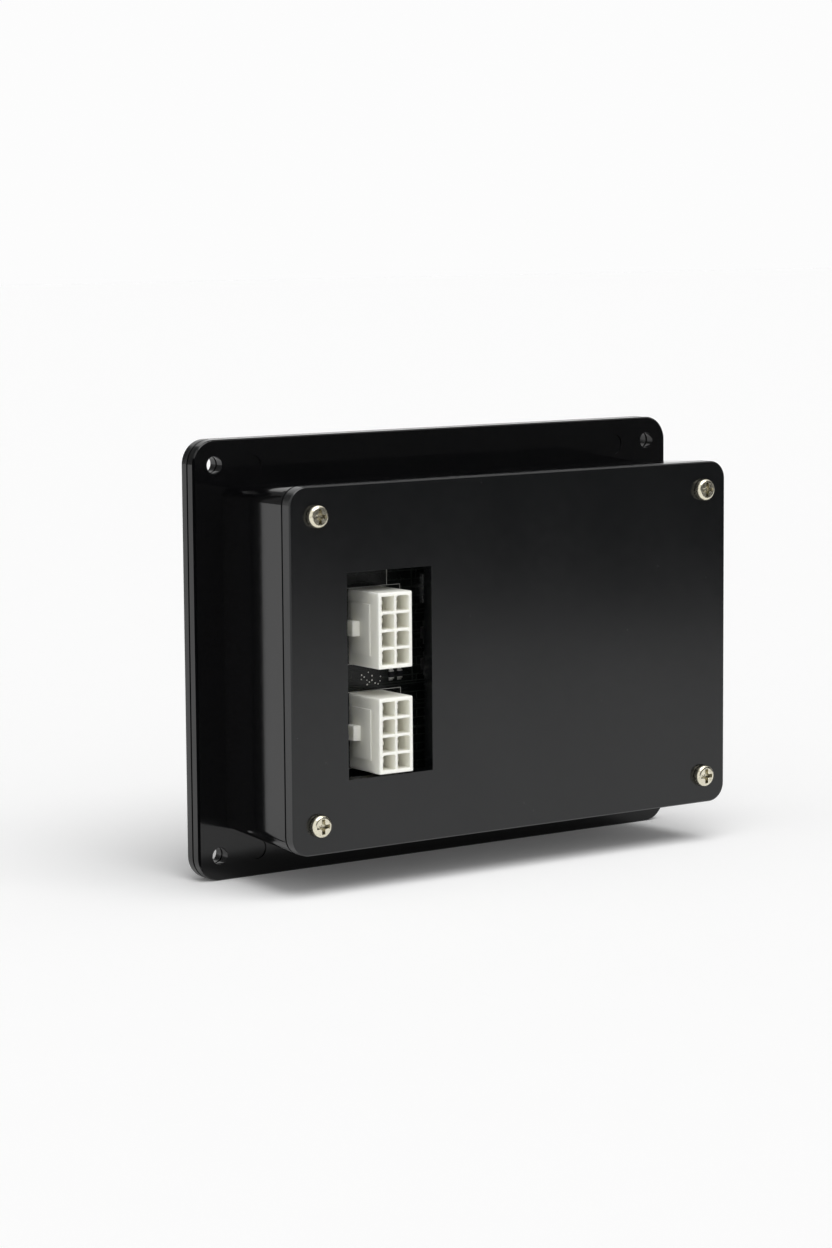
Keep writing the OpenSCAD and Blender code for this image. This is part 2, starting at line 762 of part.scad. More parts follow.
module lcd_contact_strips() {
    z = lcd_h / 2 - frame_sheet - fit_gap - strip_w / 2;
    h = display_board_y - backlight_y;
    color("#d98a8a") for (s = [-1, 1])
        block(lcd_x, lcd_z + s * z, backlight_y, lcd_w - 2 * strip_end_gap, strip_w, h);
}

module light_pipes() {
    color("#e8eef0") for (i = [0:light_count - 1]) {
        p = light_at(i);
        rod(p[0], p[1], bezel_y, collar_t - bezel_y, pipe_d);
        rod(p[0], p[1], 0, collar_t, pipe_d + 2 * collar_out);
    }
}

module indicator_leds() {
    led_h = display_board_y - collar_t - led_gap;
    color("#f2f0dc") for (i = [0:light_count - 1]) {
        p = light_at(i);
        block(p[0], p[1], display_board_y - led_base_h, led_l, led_w, led_base_h);
        rod(p[0], p[1], display_board_y - led_h, led_h - led_base_h / 2, led_d);
    }
}

// Outline of both boards, with notches at the posts and holes for spacers and screws
module board_outline() {
    translate([0, body_rise]) difference() {
        rounded(board_w, board_h, board_r);
        for (c = CORNERS) {
            translate([c[0] * board_w / 2, c[1] * board_h / 2])
                square([board_w - 2 * notch_x, board_h - 2 * notch_z], center = true);
            translate([c[0] * boss_x, c[1] * boss_z]) circle(d = screw_d + 2 * clear_gap);
        }
    }
}

module display_board() {
    color("#1d5a3a") slab(display_board_y, board_t) difference() {
        board_outline();
        for (p = link_pins_at()) translate(p) circle(d = link_pin_w * pin_hole);
        at_tabs() square([tab_w + 2 * fit_gap, frame_sheet + 2 * fit_gap], center = true);
    }
}

// Height of the tail's connector above the display board
function tail_socket_h() = display_board_y - tail_socket_gap;

module tail_connector() {
    h = tail_socket_h();
    color("#e6e2d6") difference() {
        block(tail_x, tail_z, display_board_y - h, tail_socket_w, tail_w + 2 * tail_socket_end, h);
        block(tail_x, tail_z, display_board_y - h - 1, circuit_t + 2 * fit_gap, tail_w + 2 * fit_gap,
              tail_in + fit_gap + 1);
    }
}

// Flat chip standing on y and facing the rear; feet_x feet run along X and feet_z along Z
module chip(at, y, w, h, feet_x, feet_z) {
    out_x = w / 2 + foot_l * 0.36;
    out_z = h / 2 + foot_l * 0.36;
    step_x = feet_x > 1 ? 0.8 * w / (feet_x - 1) : 0;
    step_z = feet_z > 1 ? 0.8 * h / (feet_z - 1) : 0;
    block(at[0], at[1], y + foot_t / 2, w, h, chip_h);
    for (i = [0:1:feet_x - 1], s = [-1, 1])
        block(at[0] + (i - (feet_x - 1) / 2) * step_x, at[1] + s * out_z, y, step_x * 0.45, foot_l, foot_t);
    for (i = [0:1:feet_z - 1], s = [-1, 1])
        block(at[0] + s * out_x, at[1] + (i - (feet_z - 1) / 2) * step_z, y, foot_l, step_z * 0.45, foot_t);
}

module display_driver() {
    at = [lcd_x - driver_w * 1.4, lcd_z - driver_w / 2];
    color("#202124") chip(at, display_board_top, driver_w, driver_w, 12, 12);
}

// Body of the link's header or socket, with channels for the pins
module link_body(y, h, channel_y, channel_h) {
    side = link_pin_w + 2 * pin_gap;
    color("#1b1b1d") difference() {
        block(link_x, link_z, y, 1.97 * link_step, link_rows * link_step, h);
        slab(channel_y, channel_h) for (p = link_pins_at()) translate(p) square(side, center = true);
    }
}

module link_header() {
    link_body(display_board_top, link_base_h, display_board_top - 1, link_base_h + 2);
}

module link_socket() {
    link_body(link_socket_y, link_socket_h, link_socket_y - 1, link_reach + fit_gap + 1);
}

module link_pins() {
    start = display_board_y - pin_tail;
    color("#cdb56a") soldered_pins(link_pins_at(), link_pin_w, start, link_socket_y + link_reach - start,
                                   display_board_y);
}

module board_spacer(c) {
    bore = board_screw_len - board_t + tip_room;
    color("#c8a860") translate([c[0] * boss_x, display_board_top, c[1] * boss_z + body_rise]) difference() {
        union() {
            rotate([-90, 0, 0]) cylinder(h = spacer_len, d = spacer_af / cos(30), $fn = 6);
            rod(0, 0, -stud_len, stud_len + root, screw_d);
        }
        rod(0, 0, spacer_len - bore, bore + 1, screw_d + 2 * thread_gap);
    }
}

module board_screw(c) {
    color("#c9c4b4") pan_screw(c[0] * boss_x, c[1] * boss_z + body_rise, main_board_top, board_screw_len);
}

module main_board() {
    color("#0f1512") slab(main_board_y, board_t) difference() {
        board_outline();
        for (hz = header_zs, p = header_pins_at(hz)) translate(p) circle(d = pin_w * pin_hole);
    }
}

// One wire header, its cells open to the rear and every other cell keyed
module wire_header(hz) {
    zc = hz + body_rise;
    half = cell_w / 2;
    cell_depth = header_h - header_floor;
    keyed = [[-half, -half], [half, -half], [half, half - key_cut], [half - key_cut, half],
             [key_cut - half, half], [-half, half - key_cut]];
    ramp_x = header_x + header_w / 2;
    ramp_foot = ramp_x - header_wall / 2;
    ramp_top = ramp_x + latch_out;
    ramp_y = main_board_top + latch_up;
    ramp_end = ramp_y + latch_len;
    pad_l = header_h - pad_up - pad_back;
    color("#e9e6da") {
        difference() {
            block(header_x, zc, main_board_top, header_w, header_l, header_h);
            slab(header_face - cell_depth, cell_depth + 1)
                for (i = [0:header_rows - 1], s = [0, 1]) translate(cell_at(hz, i, s))
                    if ((i + s) % 2 == 0) square(cell_w, center = true);
                    else polygon(keyed);
            slab(main_board_top - 1, header_h)
                for (p = header_pins_at(hz)) translate(p) square(pin_w + 2 * pin_gap, center = true);
        }
        block(ramp_x + (pad_out - root) / 2, zc, main_board_top + pad_up, pad_out + root,
              header_l - 2 * pad_end, pad_l);
        translate([0, 0, zc - latch_h / 2]) linear_extrude(latch_h)
            polygon([[ramp_foot, ramp_end], [ramp_x, ramp_end], [ramp_top, ramp_end - latch_slope],
                     [ramp_top, ramp_y], [ramp_foot, ramp_y]]);
    }
}

module header_pins(hz) {
    start = main_board_y - pin_tail;
    len = header_face - pin_back - start;
    color("#d8d3c0") soldered_pins(header_pins_at(hz), pin_w, start, len, main_board_y);
}

module processor() {
    color("#202124") chip(on_main(processor_back, 0.08), main_board_top, processor_w, processor_w, 16, 16);
}

module bus_drivers() {
    color("#202124") for (share = [-0.34, -0.19])
        chip(on_main(power_back, share), main_board_top, bus_chip_l, bus_chip_w, 4, 0);
}

module crystal() {
    flat = crystal_l - crystal_w;
    color("#cfd1d3") slab(main_board_top, crystal_h) translate(on_main(processor_back, -0.13)) {
        square([flat, crystal_w], center = true);
        for (s = [-1, 1]) translate([s * flat / 2, 0]) circle(d = crystal_w);
    }
}

module power_regulator() {
    p = on_main(regulator_back, 0.26);
    tab_l = regulator_l * 0.3;
    leg_l = regulator_l * 0.5;
    lap = regulator_l * 0.04;
    tab_at = p[1] + (regulator_l + tab_l) / 2 - lap;
    leg_at = p[1] - (regulator_l + leg_l) / 2 + lap;
    color("#2a2b2e") {
        block(p[0], p[1], main_board_top, regulator_w, regulator_l, regulator_h);
        block(p[0], tab_at, main_board_top, regulator_w, tab_l, regulator_h * 0.27);
        for (i = [-2:2])
            block(p[0] + i * regulator_w * 0.17, leg_at, main_board_top, regulator_w * 0.08, leg_l,
                  regulator_h * 0.12);
    }
}

module power_inductor() {
    p = on_main(processor_back - inductor_w * 0.4, 0.33);
    reach = inductor_w * 0.63;
    color("#3b3a38") difference() {
        slab(main_board_top, inductor_h) translate(p) rounded(inductor_w, inductor_w, inductor_w * 0.24);
        for (a = [45:90:315])
            rod(p[0] + reach * cos(a), p[1] + reach * sin(a), main_board_top + inductor_h * 0.2, inductor_h,
                inductor_w * 0.3);
    }
}

module power_capacitors() {
    base_h = capacitor_w * 0.13;
    can_top = cover_y - capacitor_room;
    can_y = main_board_top + base_h / 2;
    color("#c7c9cb") for (share = [0.33, 0.21]) {
        p = on_main(power_back, share);
        block(p[0], p[1], main_board_top, capacitor_w, capacitor_w, base_h);
        rod(p[0], p[1], can_y, can_top - can_y, capacitor_w * 0.93);
    }
}

module surge_diodes() {
    lead_l = diode_l * 0.12;
    lead_x = (diode_l + lead_l * 0.8) / 2;
    color("#1e1e20") for (share = [-0.03, 0.07]) {
        p = on_main(power_back, share);
        block(p[0], p[1], main_board_top, diode_l, diode_w, diode_h);
        for (s = [-1, 1])
            block(p[0] + s * lead_x, p[1], main_board_top, lead_l, diode_w / 2, diode_h / 2);
    }
}

// One small part of the given height, standing on the main board
module small_part(p, h) {
    block(p[0], p[1], main_board_top, small_w, small_l, h);
}

module chip_resistors() {
    color("#2b2b2e") {
        for (i = [0:5]) small_part(on_main(processor_back + (i + 2) * small_step, -0.21), resistor_h);
        for (i = [0:2]) small_part(on_main(processor_back + processor_w, 0.23 + i * 0.05), resistor_h);
        for (i = [1, 2])
            small_part([header_x0 - i * small_step * 0.95, body_rise + header_mid_z], resistor_h);
    }
}

// The pairs beside the processor stand past it, and in the gap between the regulator and it
module chip_capacitors() {
    gap_from = regulator_back + regulator_w / 2;
    gap = processor_back - processor_w / 2 - gap_from;
    color("#8f7a5c") {
        for (i = [0:4]) small_part(on_main(regulator_back + i * small_step, -0.24), small_cap_h);
        for (back = [gap_from + gap * 0.37, processor_back + processor_w * 0.86], share = [0, 0.16])
            small_part(on_main(back, share), small_cap_h);
    }
}

front_bezel();
bezel_seal();
rear_housing();
rear_cover();
cover_screw(CORNERS[0]);  // cover_screw_1
cover_screw(CORNERS[1]);  // cover_screw_2
cover_screw(CORNERS[2]);  // cover_screw_3
cover_screw(CORNERS[3]);  // cover_screw_4
keypad_overlay();
dome_spacer_film();
snap_domes();
keypad_circuit_film();
display_window();
lcd_frame();
lcd_glass();
lcd_backlight();
lcd_contact_strips();
light_pipes();
indicator_leds();
display_board();
tail_connector();
display_driver();
link_header();
link_pins();
link_socket();
board_spacer(CORNERS[0]);  // board_spacer_1
board_spacer(CORNERS[1]);  // board_spacer_2
board_spacer(CORNERS[2]);  // board_spacer_3
board_spacer(CORNERS[3]);  // board_spacer_4
board_screw(CORNERS[0]);  // board_screw_1
board_screw(CORNERS[1]);  // board_screw_2
board_screw(CORNERS[2]);  // board_screw_3
board_screw(CORNERS[3]);  // board_screw_4
main_board();
wire_header(header_zs[0]);  // upper_header
wire_header(header_zs[1]);  // lower_header
header_pins(header_zs[0]);  // upper_header_pins
header_pins(header_zs[1]);  // lower_header_pins
processor();
bus_drivers();
crystal();
power_regulator();
power_inductor();
power_capacitors();
surge_diodes();
chip_resistors();
chip_capacitors();
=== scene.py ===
"""Looks for a generator control display seen from behind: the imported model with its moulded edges
rounded, small parts and prints added, procedural materials, a white studio floor and the camera."""
import json
import math
import random

import bmesh
import bpy
from mathutils import Matrix, Vector


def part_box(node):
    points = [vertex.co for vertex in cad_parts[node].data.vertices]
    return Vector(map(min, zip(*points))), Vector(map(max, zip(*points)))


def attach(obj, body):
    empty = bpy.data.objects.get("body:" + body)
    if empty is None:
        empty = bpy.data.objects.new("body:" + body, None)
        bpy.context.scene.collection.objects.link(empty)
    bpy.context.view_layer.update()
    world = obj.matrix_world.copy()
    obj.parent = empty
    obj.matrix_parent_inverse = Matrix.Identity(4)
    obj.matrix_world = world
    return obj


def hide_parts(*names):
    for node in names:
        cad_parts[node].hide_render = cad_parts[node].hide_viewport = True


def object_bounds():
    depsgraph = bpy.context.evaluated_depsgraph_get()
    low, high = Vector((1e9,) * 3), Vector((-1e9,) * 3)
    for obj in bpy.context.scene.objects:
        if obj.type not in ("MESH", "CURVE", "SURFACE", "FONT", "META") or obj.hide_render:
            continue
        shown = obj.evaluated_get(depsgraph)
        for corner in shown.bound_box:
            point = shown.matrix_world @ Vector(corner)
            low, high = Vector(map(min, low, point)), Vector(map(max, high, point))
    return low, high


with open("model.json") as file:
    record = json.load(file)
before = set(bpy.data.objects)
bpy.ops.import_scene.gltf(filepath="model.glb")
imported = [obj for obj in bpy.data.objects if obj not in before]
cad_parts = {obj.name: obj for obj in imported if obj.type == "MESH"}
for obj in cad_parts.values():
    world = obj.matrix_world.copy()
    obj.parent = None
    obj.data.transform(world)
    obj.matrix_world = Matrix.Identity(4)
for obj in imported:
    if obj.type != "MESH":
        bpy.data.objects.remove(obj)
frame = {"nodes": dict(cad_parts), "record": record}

cad_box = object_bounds()
NODES = frame["nodes"]
SLOT_OF = {part["node"]: part["material_slot"] for part in frame["record"]["subparts"]}
MM = 0.001
MM_IN_METRE = 1000


# Materials

# How far round an edge its wear reaches, how much paler wear is, and how deep a finish's relief is
WEAR_REACH = 0.25 * MM
WORN_PALER = 4.0
RELIEF = 0.02 * MM
# How far into a recess its painted shade reaches
RECESS_SHADE_REACH = 0.9 * MM
# Tracks under the solder mask: their width, and each net's turn, cell length, row height and offset
TRACK_W = 0.16 * MM
TRACK_NETS = ((0.0, 13.7 * MM, 2.1 * MM, 0.37), (math.pi / 4, 21.0 * MM, 5.7 * MM, 0.5))


class Tree:
    """A short way to write shader nodes: tree.add("ShaderNodeX", Input=value, ...) returns the node.
    An underscore in an input's name stands for a space, and _6 is the input at place 6."""

    def __init__(self, tree):
        self.tree = tree
        tree.nodes.clear()

    def add(self, kind, settings=None, **inputs):
        node = self.tree.nodes.new(kind)
        for key, value in (settings or {}).items():
            setattr(node, key, value)
        for key, value in inputs.items():
            self.put(node.inputs[int(key[1:]) if key[0] == "_" else key.replace("_", " ")], value)
        return node

    def put(self, socket, value):
        if isinstance(value, bpy.types.NodeSocket):
            self.tree.links.new(value, socket)
        elif isinstance(value, bpy.types.Node):
            self.tree.links.new(value.outputs[0], socket)
        else:
            socket.default_value = value

    def ranged(self, value, low, high, to_low, to_high):
        return self.add("ShaderNodeMapRange", Value=value, From_Min=low, From_Max=high, To_Min=to_low,
                        To_Max=to_high)

    def mixed(self, factor, a, b):
        return self.add("ShaderNodeMix", {"data_type": "RGBA"}, _0=factor, _6=a, _7=b).outputs[2]

    def maths(self, operation, a, b):
        return self.add("ShaderNodeMath", {"operation": operation}, _0=a, _1=b)

    def noise(self, where, scale, detail=3.0, rough=0.55):
        return self.add("ShaderNodeTexNoise", Vector=where, Scale=scale, Detail=detail,
                        Roughness=rough).outputs[0]


def grey(value):
    return (value, value, value, 1.0)


def rgba(colour, times=1.0):
    """A socket's colour, made lighter or darker by times."""
    return tuple(min(1.0, c * times) for c in colour[:3]) + (1.0,)


def worn_edges(t, where, base, wear, paler):
    """Lays the paler colour over base along edges, broken up by noise."""
    rounded = t.add("ShaderNodeBevel", {"samples": 4}, Radius=WEAR_REACH)
    facing = t.add("ShaderNodeVectorMath", {"operation": "DOT_PRODUCT"}, _0=rounded,
                   _1=t.add("ShaderNodeNewGeometry").outputs["Normal"]).outputs["Value"]
    edge = t.ranged(facing, 0.995, 0.9, 0.0, 1.0)
    broken = t.maths("MULTIPLY", edge, t.ranged(t.noise(where, 700, 4.0), 0.45, 0.62, 0.0, wear))
    return t.mixed(broken.outputs[0], base, paler)


def material(name, colour, rough, spread=0.1, patch=90, grain=3000, bump=0.15, rough_spread=0.06,
             wear=0.0, wear_colour=None, stretch=(1, 1, 1), pattern=None, **sockets):
    """Procedural finish: clouded colour and roughness, fine grain in the bump, and paler worn edges.
    patch and grain are noise scales, and sockets holds the shader's other inputs."""
    mat = bpy.data.materials.new(name)
    mat.use_nodes = True
    t = Tree(mat.node_tree)
    where = t.add("ShaderNodeTexCoord").outputs["Object"]
    if stretch != (1, 1, 1):
        where = t.add("ShaderNodeMapping", Vector=where, Scale=stretch).outputs[0]
    cloud = t.noise(where, patch, 5.0)
    height = t.noise(where, grain, 2.0)
    base = t.mixed(cloud, rgba(colour, 1 - spread), rgba(colour, 1 + spread))
    roughness = t.ranged(t.noise(where, patch * 3.1, 6.0, 0.7), 0.3, 0.7,
                         rough - rough_spread, rough + rough_spread)
    if pattern:
        base, roughness, height = pattern(t, where, base, roughness, height)
    if wear:
        paler = rgba(wear_colour) if wear_colour else rgba(colour, WORN_PALER)
        base = worn_edges(t, where, base, wear, paler)
    normal = t.add("ShaderNodeBump", Strength=bump, Distance=RELIEF, Height=height)
    shader = t.add("ShaderNodeBsdfPrincipled", Base_Color=base, Roughness=roughness, Normal=normal,
                   **sockets)
    t.add("ShaderNodeOutputMaterial", Surface=shader)
    mat.diffuse_color = rgba(colour)
    return mat


def swirl(t, where, base, roughness, height):
    """Flow marks of moulded plastic and a few pale specks of dust."""
    dust = t.add("ShaderNodeTexVoronoi", Vector=where, Scale=160.0).outputs["Distance"]
    speck = t.ranged(dust, 0.028, 0.018, 0.0, 0.06)
    base = t.mixed(speck.outputs[0], base, grey(0.5))
    flow = t.add("ShaderNodeTexWave", {"wave_type": "BANDS"}, Vector=where, Scale=9.0, Distortion=9.0,
                 Detail=3.0)
    roughness = t.maths("ADD", roughness, t.ranged(flow.outputs[1], 0, 1, -0.01, 0.01))
    return base, roughness, height


def tracks(t, where, base, roughness, height):
    """Copper tracks that stand out faintly under a solder mask, in an upright net and a slanted one."""
    nets = []
    for turn, length, row, offset in TRACK_NETS:
        laid = t.add("ShaderNodeMapping", Vector=where, Rotation=(math.pi / 2, turn, 0)).outputs[0]
        net = t.add("ShaderNodeTexBrick", {"offset": offset, "squash": 1.0}, Vector=laid,
                    Color1=grey(0), Color2=grey(0), Mortar=grey(1), Scale=1.0, Mortar_Size=TRACK_W,
                    Mortar_Smooth=0.2, Bias=0.0, Brick_Width=length, Row_Height=row)
        nets.append(net.outputs["Color"])
    lines = t.maths("MAXIMUM", *nets)
    base = t.mixed(t.maths("MULTIPLY", lines, 0.25).outputs[0], base, (0.04, 0.045, 0.04, 1))
    raised = t.maths("MULTIPLY", lines, 2.5)
    return base, roughness, t.maths("ADD", raised, t.maths("MULTIPLY", height, 0.3))


def turned(t, where, base, roughness, height):
    """Fine rings and scratches of plated or turned metal, which take the place of the grain."""
    rings = t.noise(t.add("ShaderNodeMapping", Vector=where, Scale=(1, 14, 1)).outputs[0], 900, 3.0)
    return base, t.maths("ADD", roughness, t.ranged(rings, 0.3, 0.7, -0.05, 0.05)), rings


def mottled_with_recess_shade(t, where, base, roughness, height):
    """Turned metal with a mottled plating, and painted shade that darkens its recess the more enclosed it
    is.
    """
    base, roughness, height = turned(t, where, base, roughness, height)
    spots = t.noise(where, 1500, 4.0, 0.7)
    base = t.mixed(t.ranged(spots, 0.46, 0.32, 0.0, 0.6).outputs[0], base, (0.3, 0.26, 0.16, 1))
    # Painted shade: ambient occlusion darkens the recess, where shade falls.
    hollow = t.add("ShaderNodeAmbientOcclusion", {"samples": 8, "only_local": True},
                   Distance=RECESS_SHADE_REACH)
    dark = t.ranged(hollow.outputs["AO"], 0.75, 0.35, 0.0, 0.85)
    base = t.mixed(dark.outputs[0], base, (0.06, 0.05, 0.025, 1))
    return base, t.maths("ADD", roughness, t.ranged(spots, 0.3, 0.7, -0.06, 0.06)), height


def film(t, where, base, roughness, height):
    """Pebbled surface of a polyester keypad film, in place of the grain."""
    pebble = t.add("ShaderNodeTexVoronoi", {"feature": "SMOOTH_F1"}, Vector=where, Scale=5200.0)
    return base, roughness, pebble.outputs["Distance"]


BLACK = (0.0022, 0.0023, 0.0026)
MATERIALS = {
    "bezel_plastic": material(
        "bezel_plastic_skin", BLACK, 0.17, rough_spread=0.02, wear=0.12, pattern=swirl, bump=0.02,
        IOR=1.45),
    "housing_plastic": material(
        "housing_plastic_skin", BLACK, 0.09, rough_spread=0.015, wear=0.12, pattern=swirl, bump=0.02,
        IOR=1.42),
    "cover_plastic": material(
        "cover_plastic_skin", (0.0024, 0.0028, 0.0033), 0.2, rough_spread=0.02, wear=0.12,
        pattern=swirl, bump=0.02),
    "seal_rubber": material(
        "seal_rubber_skin", (0.006, 0.006, 0.006), 0.85, grain=5200, bump=0.9, spread=0.3),
    "screw_metal": material(
        "screw_metal_skin", (0.76, 0.72, 0.58), 0.22, Metallic=1.0, spread=0.14, patch=420,
        pattern=mottled_with_recess_shade, bump=0.2, wear=0.5, wear_colour=(0.88, 0.85, 0.74)),
    "spacer_brass": material(
        "spacer_brass_skin", (0.72, 0.52, 0.24), 0.3, Metallic=1.0, pattern=turned, bump=0.2,
        wear=0.4, wear_colour=(0.9, 0.75, 0.45)),
    "overlay_film": material(
        "overlay_film_skin", (0.013, 0.014, 0.018), 0.5, pattern=film, bump=0.5),
    "spacer_film": material("spacer_film_skin", (0.8, 0.8, 0.76), 0.45, pattern=film, bump=0.2),
    "dome_metal": material(
        "dome_metal_skin", (0.72, 0.73, 0.74), 0.28, Metallic=1.0, pattern=turned, bump=0.15),
    "circuit_film": material(
        "circuit_film_skin", (0.5, 0.3, 0.07), 0.25, spread=0.2, pattern=tracks, bump=0.4),
    "window_clear": material(
        "window_clear_skin", (0.97, 0.985, 0.98), 0.04, spread=0.01, rough_spread=0.02, bump=0.01,
        IOR=1.49, Transmission_Weight=1.0),
    "lcd_frame_metal": material(
        "lcd_frame_metal_skin", (0.02, 0.02, 0.022), 0.42, wear=0.5, bump=0.4,
        wear_colour=(0.25, 0.25, 0.26)),
    "lcd_glass": material(
        "lcd_glass_skin", (0.2, 0.27, 0.13), 0.12, spread=0.05, bump=0.02, Coat_Weight=0.6,
        Coat_Roughness=0.04),
    "backlight_plastic": material(
        "backlight_plastic_skin", (0.84, 0.84, 0.8), 0.3, spread=0.03, bump=0.1),
    "strip_rubber": material(
        "strip_rubber_skin", (0.55, 0.3, 0.3), 0.75, spread=0.3, stretch=(1, 1, 14), bump=0.6),
    "pipe_clear": material(
        "pipe_clear_skin", (0.9, 0.93, 0.93), 0.12, spread=0.02, rough_spread=0.03, bump=0.05,
        IOR=1.49, Transmission_Weight=0.85),
    "led_plastic": material(
        "led_plastic_skin", (0.85, 0.83, 0.7), 0.3, spread=0.05, bump=0.1, Subsurface_Weight=0.2,
        Subsurface_Scale=0.6 * MM),
    "display_board_mask": material(
        "display_board_skin", (0.006, 0.008, 0.007), 0.22, spread=0.2, pattern=tracks, bump=0.5,
        Coat_Weight=0.4, Coat_Roughness=0.1),
    "main_board_mask": material(
        "main_board_skin", (0.004, 0.005, 0.0047), 0.25, spread=0.2, pattern=tracks, bump=0.4,
        Specular_IOR_Level=0.3),
    "nylon": material(
        "nylon_skin", (0.95, 0.932, 0.825), 0.38, spread=0.02, patch=160, grain=1800, bump=0.15,
        Subsurface_Weight=1.0, Subsurface_Scale=1.4 * MM, Subsurface_Radius=(1.0, 1.0, 1.0)),
    "header_pin_metal": material(
        "header_pin_skin", (0.7, 0.68, 0.62), 0.32, Metallic=1.0, spread=0.15, patch=700,
        pattern=turned, bump=0.15),
    "link_plastic": material("link_plastic_skin", (0.012, 0.012, 0.013), 0.45, bump=0.3),
    "link_pin_metal": material(
        "link_pin_skin", (0.8, 0.6, 0.26), 0.25, Metallic=1.0, spread=0.12, patch=600, bump=0.1),
    "chip_plastic": material("chip_plastic_skin", (0.016, 0.016, 0.018), 0.55, grain=5000, bump=0.5),
    "crystal_can": material(
        "crystal_can_skin", (0.72, 0.73, 0.74), 0.22, Metallic=1.0, pattern=turned, bump=0.1,
        wear=0.4, wear_colour=(0.9, 0.9, 0.9)),
    "regulator_plastic": material(
        "regulator_plastic_skin", (0.02, 0.02, 0.022), 0.5, grain=4200, bump=0.4),
    "ferrite": material(
        "ferrite_skin", (0.035, 0.034, 0.033), 0.7, spread=0.3, patch=700, grain=4000, bump=0.8),
    "capacitor_can": material(
        "capacitor_can_skin", (0.78, 0.79, 0.8), 0.26, Metallic=1.0, pattern=turned, bump=0.12),
    "diode_plastic": material(
        "diode_plastic_skin", (0.014, 0.014, 0.015), 0.5, grain=4200, bump=0.4),
    "resistor_film": material(
        "resistor_film_skin", (0.012, 0.012, 0.014), 0.22, spread=0.2, patch=900, bump=0.1),
    "chip_cap_ceramic": material(
        "chip_cap_skin", (0.42, 0.3, 0.17), 0.42, spread=0.15, patch=900, bump=0.3),
}
# Dull black with little reflection for the faces in the seam's groove: matte like a parting line, and
# painted shade of the groove.
PARTING_LINE_AND_SHADE = material("parting_line_shade_skin", BLACK, 0.85, Specular_IOR_Level=0.1, bump=0.4)
TIN = material("tin_skin", (0.88, 0.87, 0.83), 0.42, Metallic=1.0, spread=0.08, patch=900, bump=0.3)
SILK = material("silk_ink", (0.4, 0.4, 0.38), 0.6, spread=0.12, patch=900, bump=0.4)
PALE_INK = material("pale_ink", (0.62, 0.64, 0.66), 0.5, spread=0.05, pattern=film, bump=0.4)
GREY_INK = material("grey_ink", (0.1, 0.105, 0.115), 0.5, spread=0.06, pattern=film, bump=0.4)
GREEN_INK = material("green_ink", (0.03, 0.3, 0.07), 0.5, spread=0.06, pattern=film, bump=0.4)
RED_INK = material("red_ink", (0.5, 0.025, 0.02), 0.5, spread=0.06, pattern=film, bump=0.4)
SEGMENT = material("lcd_segment", (0.12, 0.17, 0.085), 0.2, spread=0.05, bump=0.05)

for node, obj in NODES.items():
    for material_slot in obj.material_slots:
        material_slot.material = MATERIALS[SLOT_OF[node]]


# Tools for pieces, in millimetres

# Edges that meet at more than the first angle are rounded, and faces within the second are one
SHARP_ANGLE = 24
FLAT_ANGLE = 0.6
# Corners nearer than this are one
WELD = 1e-4
# How near a plane a corner lies on it, how near the parting plane a face is dull and barely glossy, matte
# as a parting line is and painted shade of the groove, and how much a face may look along Y and still be
# a side of the groove
ON_PLANE = 0.001
GROOVE_REACH = 0.32
GROOVE_TILT = 0.97


def place(name, bm, mat, smooth=30):
    """Makes a mesh piece from bm, which is written in millimetres in the row frame. It is shaded
    smooth where faces meet at less than smooth degrees."""
    bmesh.ops.recalc_face_normals(bm, faces=bm.faces)
    mesh = bpy.data.meshes.new(name)
    bm.to_mesh(mesh)
    bm.free()
    mesh.transform(Matrix.Scale(MM, 4))
    for polygon in mesh.polygons:
        polygon.use_smooth = True
    mesh.set_sharp_from_angle(angle=math.radians(smooth))
    obj = bpy.data.objects.new(name, mesh)
    bpy.context.scene.collection.objects.link(obj)
    obj.data.materials.append(mat)
    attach(obj, "root")
    return obj


def rim_edges(bm):
    """Outer edges of a wire header: round its mouth and down its four corners."""
    top = max(v.co.y for v in bm.verts)
    mouth = [v.co for v in bm.verts if v.co.y > top - ON_PLANE]
    sides = [(0, min(c.x for c in mouth)), (0, max(c.x for c in mouth)), (1, top),
             (2, min(c.z for c in mouth)), (2, max(c.z for c in mouth))]
    middles = [(e, (e.verts[0].co + e.verts[1].co) / 2) for e in bm.edges]
    return [e for e, m in middles if sum(abs(m[axis] - at) < ON_PLANE for axis, at in sides) > 1]


def round_edges(bm, edges, radius, steps):
    bmesh.ops.bevel(bm, geom=edges, offset=radius, offset_type="OFFSET", segments=steps, profile=0.5,
                    affect="EDGES", clamp_overlap=True)


def rounded_copy(node, radius, rim=0.0, groove=None):
    """Stands for a CAD node: the same solid with its edges rounded by radius. The outer edges of a
    header are rounded by rim, and the faces beside the plane y = groove are made dull and barely glossy:
    matte as a parting line is, and painted shade in the seam's groove."""
    bm = bmesh.new()
    bm.from_mesh(NODES[node].data)
    bmesh.ops.scale(bm, vec=(MM_IN_METRE, MM_IN_METRE, MM_IN_METRE), verts=bm.verts)
    bmesh.ops.remove_doubles(bm, verts=bm.verts, dist=WELD)
    bmesh.ops.dissolve_limit(bm, angle_limit=math.radians(FLAT_ANGLE), verts=bm.verts, edges=bm.edges)
    if rim:
        round_edges(bm, rim_edges(bm), rim, 4)
    sharp = [e for e in bm.edges
             if len(e.link_faces) == 2 and e.calc_face_angle(0) > math.radians(SHARP_ANGLE)]
    round_edges(bm, sharp, radius, 2)
    # The groove's faces get the dull material, which paints shade into the seam besides the parting
    # line's own matte finish.
    if groove:
        for face in bm.faces:
            beside = abs(face.calc_center_median().y - groove) < GROOVE_REACH
            if beside and abs(face.normal.y) < GROOVE_TILT:
                face.material_index = 1
    slot = SLOT_OF[node]
    piece = place(node + "_finished", bm, MATERIALS[slot], 35)
    if groove:
        piece.data.materials.append(PARTING_LINE_AND_SHADE)
    piece.modifiers.new("even", "WEIGHTED_NORMAL").keep_sharp = True
    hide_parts(node)


